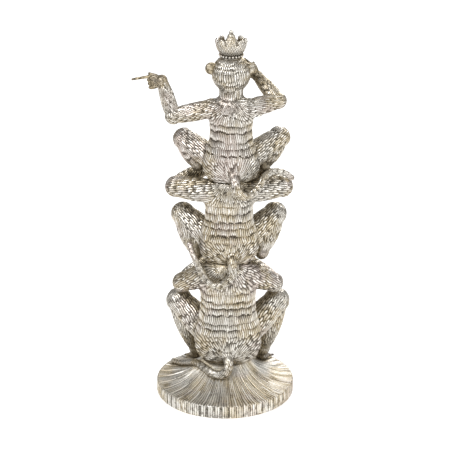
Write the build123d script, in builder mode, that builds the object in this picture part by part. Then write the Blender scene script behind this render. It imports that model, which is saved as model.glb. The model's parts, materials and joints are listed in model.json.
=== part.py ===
"""A tower of three monkeys on a round base, the topmost one crowned and pointing.

Every casting is a solid of its own: three torsos with their heads, arms, legs and tails, a crown and a base.
Limbs are moulded to the torso that carries them and held by steel dowels, and one tie rod runs up the
tower from a nut under the base. Lengths are in millimetres. The tower stands on Z = 0 with the base's
axis on Z, the monkeys face +Y, and +X is on their right hand.
"""

import os
from dataclasses import dataclass
from math import atan2, cos, degrees, sin, sqrt

from build123d import *

os.makedirs("parts", exist_ok=True)

# Base and felt
base_diameter = 140.0
rim_height = 14.0
rim_bevel = 1.2
mound_height = 36.0
mound_top_diameter = 46.0
felt_diameter = 126.0
felt_thickness = 2.0
felt_proud = 0.5
felt_clearance = 0.3

# Grooves combed down the mound, and flutes round the rim between them
groove_count = 30
groove_width = 3.2
groove_depth = 0.9
groove_reach_share = 0.86
flutes_per_groove = 2
flute_width = 3.0
flute_depth = 0.6
overrun = 2.0

# Tie rod, washer and nut
rod_diameter = 6.0
rod_clearance = 0.2
rod_x = 4.0
rod_y = -5.0
rod_engagement = 45.0
nut_across_flats = 10.0
nut_height = 5.0
washer_diameter = 16.0
washer_thickness = 1.6
nut_well_clearance = 0.6

# Dowels
dowel_diameter = 3.0
dowel_length = 14.0
dowel_clearance = 0.06
dowel_end_clearance = 0.4

# Lowest monkey
lower_x = 3.0
lower_torso_height = 109.0
lower_hip_width = 68.0
lower_waist_width = 56.0
lower_chest_width = 58.0
lower_torso_depth = 46.0
lower_thigh_diameter = 30.0
lower_arm_diameter = 24.0
lower_head_width = 43.0

# Middle monkey
middle_x = 4.0
middle_torso_height = 85.0
middle_hip_width = 60.0
middle_waist_width = 48.0
middle_chest_width = 50.0
middle_torso_depth = 40.0
middle_thigh_diameter = 27.0
middle_arm_diameter = 25.0
middle_head_width = 40.0

# Top monkey
top_x = 6.0
top_torso_height = 83.0
top_hip_width = 56.0
top_waist_width = 42.0
top_chest_width = 44.0
top_torso_depth = 38.0
top_thigh_diameter = 25.0
top_arm_diameter = 19.0
top_head_width = 38.0

# Sizes that all three monkeys share
spine_y = -4.0
pad_width = 38.0
pad_depth = 28.0
neck_width = 29.0
neck_depth = 26.0
foot_width = 16.0
foot_thickness = 9.0
toe_diameter = 3.1
toe_length = 6.0
tail_root_diameter = 10.0
tail_tip_diameter = 5.6
bedding = 0.4

# Crown
crown_band_diameter = 21.5
crown_band_height = 5.8
crown_top_diameter = 30.5
crown_height = 17.5
crown_wall = 2.6
crown_sink = 4.5
crown_bead_diameter = 3.8
crown_dome_diameter = 19.0
crown_dome_rise = 1.5
crown_orb_diameter = 7.2
crown_finial_diameter = 4.2
crown_lobes = 8
crown_stack_share = 0.40

# A torso's sections from its seat up: their heights, widths and depths as shares of the torso's own sizes
section_height_shares = (0.0, 0.06, 0.22, 0.48, 0.68, 0.87, 1.0)
section_depth_shares = (0.66, 0.88, 1.0, 0.93, 0.88, 0.82)
hip_section_shares = (0.68, 0.90, 1.0)
waist_section_shares = (1.04, 1.0)

# The stations along a limb's bone and the thickness there, as shares of the limb's root diameter
bone_station_shares = (0.0, 0.45, 1.0)
thigh_shares = (0.90, 1.0, 0.80)
shin_shares = (0.72, 0.84, 0.46)
upper_arm_shares = (0.90, 0.96, 0.74)
forearm_shares = (0.70, 0.78, 0.50)
hip_share = 1.04
knee_share = 0.90
ankle_share = 0.56
shoulder_share = 1.04
elbow_share = 0.86
wrist_share = 0.60
tail_tip_share = 1.2

# Hands as shares of the arm's root diameter
palm_length_share = 0.70
palm_thickness_share = 0.30
finger_diameter_share = 0.175
finger_length_share = 0.46
pointing_length_share = 0.88

# Hands and feet: sections along them with their width and thickness, and where the digits stand across them
palm_section_shares = ((0.0, 0.62, 1.0), (0.5, 0.95, 1.0), (1.0, 1.0, 0.66))
foot_section_shares = ((-0.34, 0.34, 0.56), (0.0, 0.66, 1.0), (0.5, 0.82, 0.95), (1.0, 1.0, 0.62))
finger_pitch_share = 1.14
finger_place_shares = (-0.375, -0.125, 0.125, 0.375)
toe_place_shares = (-0.42, -0.21, 0.0, 0.21, 0.42)
thumb_root_share = 0.33
thumb_spread_share = 0.5
thumb_length_share = 0.75
curl_share = 0.42
digit_tip_share = 0.78

# A head's features as shares of its width: each ball's place across, forward and up, then its diameter
feature_shares = {
    "muzzle": (0.11, 0.41, -0.17, 0.42),
    "brow": (0.15, 0.36, 0.17, 0.30),
    "eye": (0.17, 0.46, 0.06, 0.15),
    "nose": (0.0, 0.58, -0.06, 0.15),
    "chin": (0.0, 0.35, -0.33, 0.34),
}
ear_shares = (0.50, -0.04, 0.14)
ear_diameter_share = 0.34
ear_thickness_share = 0.13
neck_share = 0.62
neck_bone_shares = (0.94, 1.0, 0.94)
neck_root_share = 1.1

# Each joint across, forward and up from the middle of the seat, as shares of hip width, depth and height
lower_pose_shares = {
    "hip": (0.20, 0.11, 0.20),
    "knee": (0.735, 0.61, 0.486),
    "ankle": (0.53, 0.85, -0.05),
    "toe": (0.56, 1.10, -0.20),
    "left_ankle": (0.48, 0.85, -0.05),
    "left_toe": (0.52, 1.10, -0.20),
    "shoulder": (0.29, 0.0, 0.86),
    "elbow": (0.68, 0.35, 0.716),
    "wrist": (0.34, 1.12, 0.79),
    "knuckle": (0.17, 1.40, 0.90),
    "neck": (0.0, 0.22, 0.84),
    "head": (0.0, 0.98, 1.03),
}
middle_pose_shares = {
    "hip": (0.20, 0.11, 0.20),
    "knee": (0.77, 0.65, 0.47),
    "ankle": (0.55, 0.35, 0.04),
    "toe": (0.54, 0.64, -0.01),
    "shoulder": (0.30, 0.0, 0.86),
    "elbow": (0.88, 0.23, 0.88),
    "wrist": (0.46, 1.24, 0.92),
    "knuckle": (0.16, 1.68, 0.93),
    "neck": (0.0, 0.22, 0.84),
    "head": (0.0, 1.05, 1.035),
}
top_pose_shares = {
    "hip": (0.20, 0.12, 0.20),
    "knee": (0.85, 0.68, 0.43),
    "left_knee": (0.83, 0.68, 0.41),
    "ankle": (0.58, 0.50, 0.11),
    "toe": (0.57, 0.80, 0.075),
    "shoulder": (0.33, 0.0, 0.885),
    "elbow": (0.82, 0.13, 0.96),
    "wrist": (0.46, 0.68, 1.185),
    "knuckle": (0.30, 0.80, 1.265),
    "left_elbow": (1.01, 0.10, 0.775),
    "left_wrist": (1.20, 0.26, 1.19),
    "left_knuckle": (1.51, 0.30, 1.15),
    "neck": (0.0, 0.0, 0.90),
    "head": (0.0, 0.21, 1.28),
}

# Each tail from inside the rump to its tip, in the same shares as the joints
lower_tail_shares = (
    (-0.015, -0.26, 0.147), (0.0, -0.50, 0.09), (0.0, -0.64, 0.01), (-0.13, -0.61, -0.15),
    (-0.28, -0.48, -0.15), (-0.41, -0.22, -0.15), (-0.53, 0.11, -0.15), (-0.65, 0.37, -0.2),
    (-0.76, 0.60, -0.2), (-0.83, 0.76, -0.2),
)
middle_tail_shares = (
    (0.033, -0.30, 0.14), (0.05, -0.55, 0.07), (0.05, -0.64, -0.047), (-0.067, -0.64, -0.176),
    (-0.233, -0.61, -0.218), (-0.383, -0.53, -0.141), (-0.5, -0.40, -0.012), (-0.6, -0.25, 0.118),
    (-0.65, -0.10, 0.212),
)
top_tail_shares = (
    (0.036, -0.29, 0.133), (0.07, -0.55, 0.06), (0.125, -0.66, -0.048), (0.25, -0.64, -0.108),
    (0.39, -0.56, -0.078), (0.518, -0.42, 0.02), (0.625, -0.24, 0.10), (0.768, -0.06, 0.115),
    (0.93, 0.03, 0.085), (1.06, 0.08, 0.015),
)


@dataclass(frozen=True)
class Monkey:
    """One figure: the sizes of its torso and limbs, where it sits, and its pose and tail."""

    name: str
    x: float
    seat: float
    torso_height: float
    hip_width: float
    waist_width: float
    chest_width: float
    torso_depth: float
    top_width: float
    top_depth: float
    thigh_diameter: float
    arm_diameter: float
    head_width: float
    pose: dict
    tail: tuple

    def at(self, shares: tuple, side: int = 1) -> Vector:
        """Turn shares of the torso into a place, on the right side for 1 and on the left for -1."""
        across, forward, up = shares
        return Vector(
            self.x + side * across * self.hip_width,
            spine_y + forward * self.torso_depth,
            self.seat + up * self.torso_height,
        )

    def joint(self, name: str, side: int = 1) -> Vector:
        """Give a joint's place, by the left side's own joint where the pose has one."""
        own_name = "left_" + name
        if side < 0 and own_name in self.pose:
            return self.at(self.pose[own_name], side)
        return self.at(self.pose[name], side)


lower = Monkey(
    "lower", lower_x, mound_height, lower_torso_height, lower_hip_width, lower_waist_width,
    lower_chest_width, lower_torso_depth, pad_width, pad_depth, lower_thigh_diameter,
    lower_arm_diameter, lower_head_width, lower_pose_shares, lower_tail_shares,
)
middle = Monkey(
    "middle", middle_x, lower.seat + lower.torso_height, middle_torso_height, middle_hip_width,
    middle_waist_width, middle_chest_width, middle_torso_depth, pad_width, pad_depth,
    middle_thigh_diameter, middle_arm_diameter, middle_head_width, middle_pose_shares, middle_tail_shares,
)
top = Monkey(
    "top", top_x, middle.seat + middle.torso_height, top_torso_height, top_hip_width, top_waist_width,
    top_chest_width, top_torso_depth, neck_width, neck_depth, top_thigh_diameter, top_arm_diameter,
    top_head_width, top_pose_shares, top_tail_shares,
)
monkeys = (lower, middle, top)
sides = {"left": -1, "right": 1}


def finish(part: Part, name: str) -> None:
    """Label a piece and write it out under its own name."""
    part.label = name
    export_step(part, f"parts/{name}.step")


def ball(centre: Vector, diameter: float, axis: Vector, seam: Vector, mode: Mode = Mode.ADD) -> None:
    """Add a round to the open part, or take one away.

    Its poles lie along an axis and its seam on the side named, so that limbs meet it clear of both.
    """
    with Locations(Plane(origin=centre, x_dir=seam - axis * (seam.dot(axis) / axis.dot(axis)), z_dir=axis)):
        Sphere(diameter / 2, mode=mode)


def bone(start: Vector, end: Vector, diameter: float, shares: tuple) -> None:
    """Loft one straight stretch of a limb through round sections that swell and taper."""
    run = end - start
    sections = []
    for station_share, share in zip(bone_station_shares, shares):
        with BuildSketch(Plane(origin=start + run * station_share, z_dir=run)) as section:
            Circle(diameter * share / 2)
        sections.append(section.sketch)
    loft(sections)


def flat_loft(start: Vector, end: Vector, across: Vector, size: tuple, shares: tuple) -> None:
    """Loft a palm or a foot through flattened sections, wide across it and thin through it."""
    run = end - start
    width, thickness = size
    sections = []
    for station_share, width_share, thickness_share in shares:
        with BuildSketch(Plane(origin=start + run * station_share, x_dir=across, z_dir=run)) as section:
            Ellipse(width * width_share / 2, thickness * thickness_share / 2)
        sections.append(section.sketch)
    loft(sections)


def digit(start: Vector, end: Vector, diameter: float) -> None:
    """Add one finger or toe: a tapered rod with a round at each end, turned about its own axis."""
    run = end - start
    root_radius = diameter / 2
    tip_radius = root_radius * digit_tip_share
    axis_plane = Plane(origin=start, z_dir=run)
    with BuildSketch(Plane(origin=start, x_dir=run, z_dir=axis_plane.x_dir)) as outline:
        with BuildLine():
            root = CenterArc((0, 0), root_radius, 90, 90)
            tip = CenterArc((run.length, 0), tip_radius, 0, 90)
            Line(root @ 0, tip @ 1)
            Line(root @ 1, tip @ 0)
        make_face()
    revolve(outline.sketch, axis=Axis(start, run))


def exit_plane(body: Part, root: Vector, aim: Vector) -> Plane:
    """Give the plane, square to the line from a root to its aim, where that line leaves a body."""
    line = Axis(root, aim - root)
    hits = [hit for face in body.faces() for hit, _ in face.find_intersection_points(line)]
    ahead = [hit for hit in hits if (hit - root).dot(aim - root) > 0]
    return Plane(origin=min(ahead, key=lambda hit: (hit - root).length), z_dir=aim - root)


def drill(planes: list) -> None:
    """Drill the dowel sockets that lie across the open part's joint faces."""
    with Locations(*planes):
        Cylinder(
            dowel_diameter / 2 + dowel_clearance, dowel_length + 2 * dowel_end_clearance,
            mode=Mode.SUBTRACT,
        )


def flare_arc() -> tuple:
    """Give the centre, the radius and the angle of the arc that the base's top flares along."""
    rim_edge = base_diameter / 2 - rim_bevel
    run = rim_edge - mound_top_diameter / 2
    rise = mound_height - rim_height
    sweep = (run**2 + rise**2) / (2 * rise)
    return Vector(rim_edge, 0, rim_height + sweep), sweep, atan2(run, sweep - rise)


def mound_level(radius: float) -> float:
    """Give the height of the base's flared top at a radius from its axis."""
    centre, sweep, angle = flare_arc()
    reach = min(max(centre.X - radius, 0.0), sweep * sin(angle))
    return centre.Z - sqrt(sweep**2 - reach**2)


def round_radius(width: float, depth: float) -> float:
    """Give the radius of a round cut of a given width and depth."""
    return (width**2 / 4 + depth**2) / (2 * depth)


def rest_on_base(place: Vector, thickness: float) -> Vector:
    """Lift a place that would sink into the base until a limb of that thickness just beds into it."""
    level = mound_level(Vector(place.X, place.Y).length) + thickness / 2 - bedding
    return Vector(place.X, place.Y, max(place.Z, level))


def torso_blank(monkey: Monkey) -> Part:
    """Loft a torso from its flat seat to the flat top that the next casting stands on."""
    widths = [share * monkey.hip_width for share in hip_section_shares]
    widths += [share * monkey.waist_width for share in waist_section_shares]
    widths += [monkey.chest_width, monkey.top_width]
    depths = [share * monkey.torso_depth for share in section_depth_shares] + [monkey.top_depth]
    with BuildPart() as blank:
        for height_share, width, depth in zip(section_height_shares, widths, depths):
            level = monkey.seat + height_share * monkey.torso_height
            with BuildSketch(Plane(origin=(monkey.x, spine_y, level))):
                Ellipse(width / 2, depth / 2)
        loft()
    return blank.part


def head_casting(monkey: Monkey, obstacles: list) -> Part:
    """Model a head with its neck: dished ears, a round skull, brow, eyes, muzzle, nose and chin."""
    centre = monkey.joint("head")
    neck = monkey.joint("neck")
    width = monkey.head_width
    ear_diameter = ear_diameter_share * width
    ear_thickness = ear_thickness_share * width
    nape = Vector(0, -1, 1)
    with BuildPart() as head:
        for side in sides.values():
            across_share, forward_share, up_share = ear_shares
            ear = centre + Vector(side * across_share, forward_share, up_share) * width
            with BuildSketch(Plane(origin=ear, x_dir=(0, 1, 0), z_dir=(0, 0, -side))) as outline:
                Ellipse(ear_thickness / 2, ear_diameter / 2)
                with Locations((0, ear_diameter / 2)):
                    Rectangle(ear_thickness, ear_diameter, mode=Mode.SUBTRACT)
            revolve(outline.sketch, axis=Axis(ear, (0, 1, 0)))
            dish = ear + Vector(side * ear_thickness / 2, ear_diameter / 2, 0)
            ball(dish, ear_diameter - ear_thickness / 2, Vector(0, 1, 0), Vector(-side, 0, 0), Mode.SUBTRACT)
        ball(centre, width, centre - neck, nape)
        for across_share, forward_share, up_share, diameter_share in feature_shares.values():
            for place_share in {across_share, -across_share}:
                place = Vector(place_share, forward_share, up_share) * width
                ball(centre + place, diameter_share * width, place, nape)
        bone(neck, centre, width * neck_share, neck_bone_shares)
        ball(neck, width * neck_share * neck_root_share, centre - neck, nape)
        for obstacle in obstacles:
            add(obstacle, mode=Mode.SUBTRACT)
    return head.part


def hand(wrist: Vector, knuckle: Vector, faces: Vector, side: int, arm_diameter: float, points: bool) -> None:
    """Add a hand to the open arm: a palm, a thumb and four fingers, of which a pointing hand curls three."""
    along = (knuckle - wrist).normalized()
    across = along.cross(faces).normalized() * -side
    curl = (faces - along * faces.dot(along)).normalized()
    diameter = arm_diameter * finger_diameter_share
    length = arm_diameter * finger_length_share
    palm_width = len(finger_place_shares) * diameter * finger_pitch_share
    palm_run = along * arm_diameter * palm_length_share
    palm_size = (palm_width, arm_diameter * palm_thickness_share)
    flat_loft(wrist, wrist + palm_run, across, palm_size, palm_section_shares)
    for place_share in finger_place_shares:
        root = wrist + palm_run + across * place_share * palm_width - along * diameter / 2
        if points and place_share > finger_place_shares[0]:
            bend = root + (along + curl) * length * curl_share / 2
            digit(root, bend, diameter)
            digit(bend, bend + (curl - along * 2) * length * curl_share / 2, diameter)
        else:
            reach = arm_diameter * pointing_length_share if points else length
            digit(root, root + along * reach, diameter)
    thumb = wrist + palm_run * thumb_root_share + across * finger_place_shares[0] * palm_width
    digit(thumb, thumb + (along - across * thumb_spread_share) * length * thumb_length_share, diameter)


def arm_casting(monkey: Monkey, side: int, obstacles: list) -> Part:
    """Model one arm, bent at the elbow, with its hand, moulded to the shoulder and to the face."""
    shoulder, elbow, wrist, knuckle = (
        monkey.joint(name, side) for name in ("shoulder", "elbow", "wrist", "knuckle")
    )
    diameter = monkey.arm_diameter
    inward = Vector(-side, 0, 0)
    points = side < 0 and "left_knuckle" in monkey.pose
    faces = Vector(0, 1, 0) if points else monkey.joint("head") - knuckle
    with BuildPart() as arm:
        ball(shoulder, diameter * shoulder_share, elbow - shoulder, inward)
        bone(shoulder, elbow, diameter, upper_arm_shares)
        ball(elbow, diameter * elbow_share, elbow - shoulder, elbow - wrist)
        bone(elbow, wrist, diameter, forearm_shares)
        ball(wrist, diameter * wrist_share, wrist - elbow, elbow - shoulder)
        hand(wrist, knuckle, faces, side, diameter, points)
        for obstacle in obstacles:
            add(obstacle, mode=Mode.SUBTRACT)
    return arm.part


def leg_casting(monkey: Monkey, side: int, obstacles: list) -> Part:
    """Model one folded leg with its foot, moulded to the hip and to what the foot stands on."""
    hip, knee, ankle, toe = (monkey.joint(name, side) for name in ("hip", "knee", "ankle", "toe"))
    diameter = monkey.thigh_diameter
    toe = rest_on_base(toe, foot_thickness * foot_section_shares[-1][-1])
    heel = rest_on_base(Vector(ankle.X, ankle.Y, toe.Z), foot_thickness)
    along = (toe - heel).normalized()
    across = along.cross(Vector(0, 0, 1)).normalized()
    inward = Vector(-side, 0, 0)
    with BuildPart() as leg:
        ball(hip, diameter * hip_share, knee - hip, inward)
        bone(hip, knee, diameter, thigh_shares)
        ball(knee, diameter * knee_share, knee - hip, knee - ankle)
        bone(knee, ankle, diameter, shin_shares)
        ball(ankle, diameter * ankle_share, ankle - knee, heel - toe)
        flat_loft(heel, toe, across, (foot_width, foot_thickness), foot_section_shares)
        for place_share in toe_place_shares:
            root = toe + across * place_share * foot_width - along * toe_diameter / 2
            digit(root, root + (along + across * place_share) * toe_length, toe_diameter)
        for obstacle in obstacles:
            add(obstacle, mode=Mode.SUBTRACT)
    return leg.part


def tail_casting(monkey: Monkey, obstacles: list) -> Part:
    """Loft a tapering tail along its curve, moulded to the rump and to what it lies on."""
    taper = tail_root_diameter - tail_tip_diameter
    last = len(monkey.tail) - 1
    points = [
        rest_on_base(monkey.at(shares), tail_root_diameter - taper * index / last)
        for index, shares in enumerate(monkey.tail)
    ]
    curve = Spline(*points)
    stations = 2 * last
    sections = []
    across = Vector(1, 0, 0)
    for index in range(stations + 1):
        tangent = curve % (index / stations)
        across = (across - tangent * across.dot(tangent)).normalized()
        with BuildSketch(Plane(origin=curve @ (index / stations), x_dir=across, z_dir=tangent)) as section:
            Circle((tail_root_diameter - taper * index / stations) / 2)
        sections.append(section.sketch)
    with BuildPart() as tail:
        loft(sections)
        ball(points[-1], tail_tip_diameter * tail_tip_share, curve % 1, Vector(0, 0, 1))
        for obstacle in obstacles:
            add(obstacle, mode=Mode.SUBTRACT)
    return tail.part


upright = (Align.CENTER, Align.CENTER, Align.MIN)

# The base: a rim with a bevelled edge and a flared mound, hollowed below for felt, washer and nut
felt_recess = felt_thickness - felt_proud
nut_well_depth = washer_thickness + nut_height + nut_well_clearance
rod_bore = rod_diameter / 2 + rod_clearance
rim_radius = base_diameter / 2
with BuildPart() as base_blank:
    with BuildSketch(Plane.XZ):
        with BuildLine():
            under = Line((0, felt_proud), (rim_radius, felt_proud))
            side_wall = Line(under @ 1, (rim_radius, rim_height - rim_bevel))
            bevel = Line(side_wall @ 1, (rim_radius - rim_bevel, rim_height))
            flare = TangentArc(bevel @ 1, (mound_top_diameter / 2, mound_height), tangent=(-1, 0))
            crest = Line(flare @ 1, (0, mound_height))
            Line(crest @ 1, under @ 0)
        make_face()
    revolve(axis=Axis.Z)

# Each groove is a ring's arc about the flare's own centre, and each flute a round cut down the rim
flare_centre, flare_sweep, flare_angle = flare_arc()
groove_radius = round_radius(groove_width, groove_depth)
groove_start = groove_reach_share * flare_angle
groove_plane = Plane(
    origin=flare_centre, x_dir=(-sin(groove_start), 0, -cos(groove_start)), z_dir=(0, -1, 0)
)
groove_turn = groove_start + overrun / flare_sweep + rim_bevel / flare_sweep
flute_radius = round_radius(flute_width, flute_depth)
flute_count = groove_count * flutes_per_groove
flute_place = rim_radius + flute_radius - flute_depth
with BuildPart() as base:
    add(base_blank.part)
    with PolarLocations(0, groove_count):
        with Locations(groove_plane):
            Torus(
                flare_sweep - groove_radius + groove_depth, groove_radius,
                major_angle=degrees(groove_turn), align=None, mode=Mode.SUBTRACT,
            )
    with Locations((0, 0, felt_proud - overrun)):
        with PolarLocations(flute_place, flute_count, start_angle=180 / flute_count):
            Cylinder(flute_radius, rim_height + 2 * overrun, align=upright, mode=Mode.SUBTRACT)
    with Locations((0, 0, felt_proud)):
        Cylinder(felt_diameter / 2 + felt_clearance, felt_recess, align=upright, mode=Mode.SUBTRACT)
    with Locations((rod_x, rod_y, felt_thickness)):
        Cylinder(
            washer_diameter / 2 + nut_well_clearance, nut_well_depth, align=upright, mode=Mode.SUBTRACT
        )
        Cylinder(rod_bore, mound_height, align=upright, mode=Mode.SUBTRACT)
finish(base.part, "base")

with BuildPart() as felt_pad:
    Cylinder(felt_diameter / 2, felt_thickness, align=upright)
finish(felt_pad.part, "felt_pad")

# The tie rod, its washer against the roof of the well and the nut below it
washer_bottom = felt_thickness + nut_well_depth - washer_thickness
nut_bottom = washer_bottom - nut_height
with BuildPart() as washer:
    with Locations((rod_x, rod_y, washer_bottom)):
        Cylinder(washer_diameter / 2, washer_thickness, align=upright)
        Cylinder(rod_bore, washer_thickness, align=upright, mode=Mode.SUBTRACT)
finish(washer.part, "tie_washer")

with BuildPart() as nut:
    with BuildSketch(Plane(origin=(rod_x, rod_y, nut_bottom))):
        RegularPolygon(nut_across_flats / 2, side_count=6, major_radius=False)
        Circle(rod_diameter / 2, mode=Mode.SUBTRACT)
    extrude(amount=nut_height)
finish(nut.part, "tie_nut")

with BuildPart() as rod:
    with Locations((rod_x, rod_y, nut_bottom)):
        Cylinder(rod_diameter / 2, top.seat + rod_engagement - nut_bottom, align=upright)
finish(rod.part, "tie_rod")

# The three monkeys, from the base up, each moulded to what carries it and to the torso that sits on it
blanks = {monkey.name: torso_blank(monkey) for monkey in monkeys}
carriers = [base_blank.part]
for monkey in monkeys:
    blank = blanks[monkey.name]
    head_blank = head_casting(monkey, list(blanks.values()))
    crown_centre = monkey.joint("head")
    crown_plane = exit_plane(head_blank, crown_centre, crown_centre + Vector(0, 0, monkey.head_width))
    neck_plane = exit_plane(blank, monkey.joint("neck"), monkey.joint("head"))
    tail_plane = exit_plane(blank, monkey.at(monkey.tail[0]), monkey.at(monkey.tail[1]))
    arm_planes = {
        side: exit_plane(blank, monkey.joint("shoulder", side), monkey.joint("elbow", side))
        for side in sides.values()
    }
    leg_planes = {
        side: exit_plane(blank, monkey.joint("hip", side), monkey.joint("knee", side))
        for side in sides.values()
    }
    torso_planes = [neck_plane, tail_plane, *arm_planes.values(), *leg_planes.values()]

    with BuildPart() as torso:
        add(blank)
        drill(torso_planes)
        bore_depth = rod_engagement + dowel_end_clearance if monkey is top else monkey.torso_height
        with Locations((rod_x, rod_y, monkey.seat)):
            Cylinder(rod_bore, bore_depth, align=upright, mode=Mode.SUBTRACT)
    finish(torso.part, f"{monkey.name}_torso")

    with BuildPart() as dowels:
        with Locations(*torso_planes):
            Cylinder(dowel_diameter / 2, dowel_length)
    finish(dowels.part, f"{monkey.name}_dowels")

    with BuildPart() as head:
        add(head_blank)
        drill([neck_plane, crown_plane] if monkey is top else [neck_plane])
    finish(head.part, f"{monkey.name}_head")

    tail_blank = tail_casting(monkey, [blank, *carriers])
    with BuildPart() as tail:
        add(tail_blank)
        drill([tail_plane])
    finish(tail.part, f"{monkey.name}_tail")

    for name, side in sides.items():
        leg_blank = leg_casting(monkey, side, [blank, *carriers])
        with BuildPart() as leg:
            add(leg_blank)
            drill([leg_planes[side]])
        finish(leg.part, f"{monkey.name}_{name}_leg")

        arm_blank = arm_casting(monkey, side, [*blanks.values(), head_blank])
        with BuildPart() as arm:
            add(arm_blank)
            drill([arm_planes[side]])
        finish(arm.part, f"{monkey.name}_{name}_arm")
    carriers = [blank, head_blank]

# The crown: a flared band with a scalloped rim of beaded lobes round a dome that carries an orb and a ball
with BuildPart() as crown_dowel:
    with Locations(crown_plane):
        Cylinder(dowel_diameter / 2, dowel_length)
finish(crown_dowel.part, "crown_dowel")

crown_foot = crown_plane.origin - Vector(0, 0, crown_sink)
lobe_radius = (crown_top_diameter - crown_wall) / 2
dome_top = crown_height + crown_dome_rise
dome_level = dome_top - crown_dome_diameter / 2
orb_level = dome_top + crown_orb_diameter * crown_stack_share
finial_level = orb_level + (crown_orb_diameter + crown_finial_diameter) * crown_stack_share
crown_stack = (
    (dome_level, crown_dome_diameter), (orb_level, crown_orb_diameter), (finial_level, crown_finial_diameter)
)
with BuildPart() as crown:
    with BuildSketch(Plane(origin=crown_foot, x_dir=(1, 0, 0), z_dir=(0, -1, 0))):
        with BuildLine():
            floor_line = Line((0, 0), (crown_band_diameter / 2, 0))
            band = Line(floor_line @ 1, (crown_band_diameter / 2, crown_band_height))
            bowl = TangentArc((crown_top_diameter / 2, crown_height), band @ 1, tangent=(0, -1))
            lip = Line(bowl @ 0, (crown_top_diameter / 2 - crown_wall, crown_height))
            inner = Line(lip @ 1, (crown_dome_diameter / 2, crown_band_height))
            floor_top = Line(inner @ 1, (0, crown_band_height))
            Line(floor_top @ 1, floor_line @ 0)
        make_face()
    revolve(axis=Axis(crown_foot, (0, 0, 1)))
    with Locations(crown_foot + Vector(0, 0, crown_height)):
        with PolarLocations(lobe_radius, crown_lobes, start_angle=180 / crown_lobes):
            Cylinder(
                crown_bead_diameter / 2, crown_wall + 2 * overrun, rotation=(0, 90, 0), mode=Mode.SUBTRACT
            )
        with PolarLocations(lobe_radius, crown_lobes):
            Sphere(crown_bead_diameter / 2)
    for level, diameter in crown_stack:
        ball(crown_foot + Vector(0, 0, level), diameter, Vector(0, 0, 1), Vector(0, 1, 0))
    add(head_blank, mode=Mode.SUBTRACT)
    drill([crown_plane])
finish(crown.part, "crown")
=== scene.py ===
"""Dress the monkey tower: three hair-carved monkeys on a fluted base, in aged silver leaf, crown on top."""

import json
import logging
from dataclasses import dataclass
from enum import Enum
from math import pi, radians
from typing import Sequence

import bmesh
import bpy
import numpy as np
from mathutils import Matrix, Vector
from mathutils.bvhtree import BVHTree

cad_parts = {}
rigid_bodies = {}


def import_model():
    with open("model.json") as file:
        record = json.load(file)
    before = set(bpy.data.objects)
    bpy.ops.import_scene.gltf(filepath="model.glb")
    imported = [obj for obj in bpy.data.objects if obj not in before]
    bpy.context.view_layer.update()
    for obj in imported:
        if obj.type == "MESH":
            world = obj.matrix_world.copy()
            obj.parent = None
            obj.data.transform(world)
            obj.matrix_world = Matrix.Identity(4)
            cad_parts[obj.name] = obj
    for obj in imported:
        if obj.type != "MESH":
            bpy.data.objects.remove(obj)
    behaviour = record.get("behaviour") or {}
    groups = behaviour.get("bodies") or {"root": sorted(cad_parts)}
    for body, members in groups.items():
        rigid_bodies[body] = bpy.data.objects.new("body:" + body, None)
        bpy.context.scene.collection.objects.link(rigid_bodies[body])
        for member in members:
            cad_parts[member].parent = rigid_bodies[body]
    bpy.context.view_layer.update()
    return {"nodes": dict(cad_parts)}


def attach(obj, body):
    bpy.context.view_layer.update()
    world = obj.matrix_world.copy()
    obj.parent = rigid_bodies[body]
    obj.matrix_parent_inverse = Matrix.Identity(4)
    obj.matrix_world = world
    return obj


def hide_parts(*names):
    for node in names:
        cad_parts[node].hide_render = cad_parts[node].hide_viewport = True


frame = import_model()
log = logging.getLogger("monkey_tower")

MM = 0.001
FAR = 200.0  # millimetres, past every place from which strokes run inward
Point = tuple[float, float, float]
Path = tuple[Point, ...]
Array = np.ndarray
Cut = tuple[Array, Array, Array]
Piece = bpy.types.Object
Finish = bpy.types.Material
Socket = bpy.types.NodeSocket


class Region(Enum):
    """The castings of one monkey, in the order in which its faces are told apart."""

    TORSO = "torso"
    HEAD = "head"
    LEFT_ARM = "left_arm"
    RIGHT_ARM = "right_arm"
    LEFT_LEG = "left_leg"
    RIGHT_LEG = "right_leg"
    TAIL = "tail"


# Small tools for meshes


def set_mode(mode: str) -> None:
    """Change to OBJECT or EDIT mode."""
    bpy.ops.object.mode_set(mode=mode)


def add_object(name: str, data: bpy.types.ID) -> Piece:
    """Put a new object with the given data into the scene."""
    piece = bpy.data.objects.new(name, data)
    bpy.context.scene.collection.objects.link(piece)
    return piece


def deselect() -> None:
    """Leave edit mode and select nothing."""
    if bpy.context.object is not None and bpy.context.object.mode != "OBJECT":
        set_mode("OBJECT")
    bpy.ops.object.select_all(action="DESELECT")


def activate(piece: Piece) -> None:
    """Select one piece alone and make it the active one."""
    deselect()
    piece.select_set(True)
    bpy.context.view_layer.objects.active = piece


def edit_all(piece: Piece) -> None:
    """Enter edit mode on one piece with all of it selected."""
    activate(piece)
    set_mode("EDIT")
    bpy.ops.mesh.select_all(action="SELECT")


def copy_node(name: str) -> Piece:
    """Copy a CAD node into a free object with its loose triangles merged.

    Args:
        name: the CAD node's name.

    Returns:
        The new object, with no material.
    """
    piece = add_object(name + "_copy", frame["nodes"][name].data.copy())
    piece.data.materials.clear()
    edit_all(piece)
    bpy.ops.mesh.remove_doubles(threshold=0.002 * MM)
    set_mode("OBJECT")
    return piece


def join(pieces: Sequence[Piece], name: str) -> Piece:
    """Join pieces into the first one and rename it."""
    deselect()
    for piece in pieces:
        piece.select_set(True)
    bpy.context.view_layer.objects.active = pieces[0]
    bpy.ops.object.join()
    pieces[0].name = name
    return pieces[0]


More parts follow.
